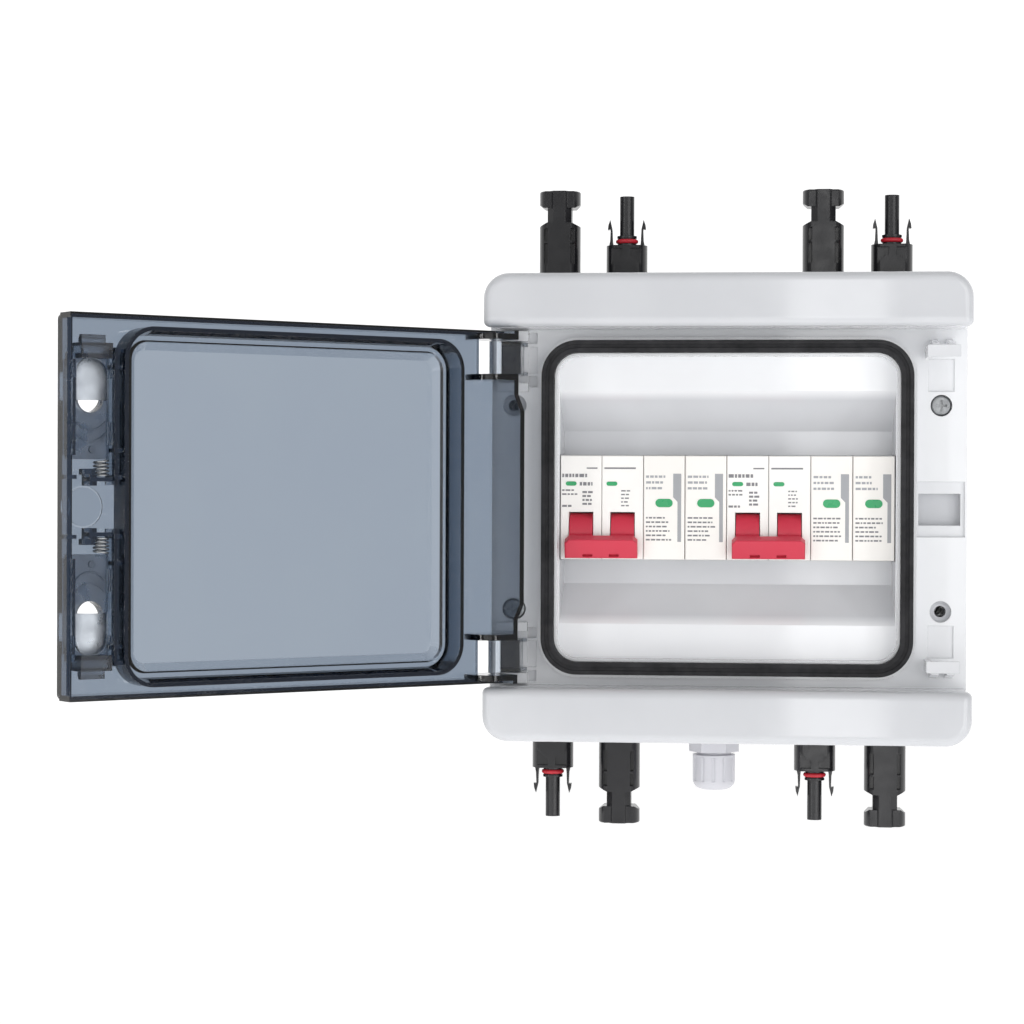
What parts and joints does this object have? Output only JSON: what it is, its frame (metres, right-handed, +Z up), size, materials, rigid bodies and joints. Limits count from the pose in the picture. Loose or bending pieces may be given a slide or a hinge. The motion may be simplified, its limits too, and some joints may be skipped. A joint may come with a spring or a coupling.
{
  "type": "dc combiner box",
  "caption": "Wall-mounted solar DC combiner box with a smoked hinged door, rail-mounted breakers and surge arresters, and plug-in cable entries at both ends.",
  "frame": {"origin": "centre of the flat back face, which lies against the wall", "axes": "+Z up, +X to the right seen from the front, +Y into the wall; the front faces -Y"},
  "size_m": [0.3605, 0.226, 0.2832],
  "materials": {
    "shell": "glossy moulded ABS, light grey-white",
    "smoked_clear": "smoked transparent polycarbonate",
    "gasket": "matt black EPDM",
    "toggle": "satin red moulded plastic",
    "status_window": "green status window",
    "breaker_case": "satin off-white thermoplastic",
    "arrester_case": "satin warm off-white thermoplastic",
    "clip": "dark grey moulded plastic",
    "connector": "satin black PPO",
    "red_seal": "red silicone",
    "washer": "black rubber",
    "contact": "tin-plated copper",
    "nylon": "light grey nylon",
    "brass": "bare brass",
    "steel": "zinc-plated steel",
    "wire_red": "red insulation",
    "wire_black": "black insulation",
    "wire_earth": "green and yellow insulation"
  },
  "bodies": {
    "enclosure": {"arrester_left_base": "arrester_case", "arrester_left_cartridges": "arrester_case", "arrester_left_rail_clips": "clip", "arrester_left_terminals": "steel", "arrester_left_windows": "status_window", "arrester_right_base": "arrester_case", "arrester_right_cartridges": "arrester_case", "arrester_right_rail_clips": "clip", "arrester_right_terminals": "steel", "arrester_right_windows": "status_window", "breaker_left_poles": "breaker_case", "breaker_left_rail_clips": "clip", "breaker_left_terminals": "steel", "breaker_left_windows": "status_window", "breaker_right_poles": "breaker_case", "breaker_right_rail_clips": "clip", "breaker_right_terminals": "steel", "breaker_right_windows": "status_window", "cover_screws": "steel", "din_rail": "steel", "earth_bar": "brass", "earth_bar_screws": "steel", "front_cover": "shell", "gland_body": "nylon", "gland_dome_nut": "nylon", "gland_lock_nut": "nylon", "gland_seal": "washer", "hinge_clip_lower": "smoked_clear", "hinge_clip_upper": "smoked_clear", "pv_contact_pins": "contact", "pv_contact_sockets": "contact", "pv_lock_nuts": "connector", "pv_panel_washers": "washer", "pv_plug_bottom_left": "connector", "pv_plug_bottom_right": "connector", "pv_plug_seals": "red_seal", "pv_plug_top_left": "connector", "pv_plug_top_right": "connector", "pv_receptacle_bottom_left": "connector", "pv_receptacle_bottom_right": "connector", "pv_receptacle_top_left": "connector", "pv_receptacle_top_right": "connector", "rail_screws": "steel", "rear_shell": "shell", "shell_seal": "gasket", "window_gasket": "gasket", "wires_black": "wire_black", "wires_earth": "wire_earth", "wires_red": "wire_red"},
    "door": {"door_panel": "smoked_clear", "latch_upper_spring": "steel", "latch_lower_spring": "steel"},
    "latch_upper": {"latch_upper": "smoked_clear"},
    "latch_lower": {"latch_lower": "smoked_clear"},
    "toggle_left": {"breaker_left_toggle": "toggle"},
    "toggle_right": {"breaker_right_toggle": "toggle"}
  },
  "joints": [
    {"name": "door_hinge", "type": "hinge", "parent": "enclosure", "child": "door", "pos_m": [-0.0988, -0.092, 0], "axis": [0, 0, 1], "range_deg": [-30.5, 139.5]},
    {"name": "latch_upper_slide", "type": "slide", "parent": "door", "child": "latch_upper", "axis": [0, 0, -1], "range_m": [0, 0.0032], "stiffness_N_per_m": 500, "springref_m": -0.002, "deforming": ["latch_upper_spring"]},
    {"name": "latch_lower_slide", "type": "slide", "parent": "door", "child": "latch_lower", "axis": [0, 0, 1], "range_m": [0, 0.0032], "stiffness_N_per_m": 500, "springref_m": -0.002, "deforming": ["latch_lower_spring"]},
    {"name": "toggle_left_hinge", "type": "hinge", "parent": "enclosure", "child": "toggle_left", "pos_m": [-0.054, -0.067, -0.011], "axis": [-1, 0, 0], "range_deg": [0, 53.2]},
    {"name": "toggle_right_hinge", "type": "hinge", "parent": "enclosure", "child": "toggle_right", "pos_m": [0.018, -0.067, -0.011], "axis": [-1, 0, 0], "range_deg": [0, 53.2]}
  ]
}
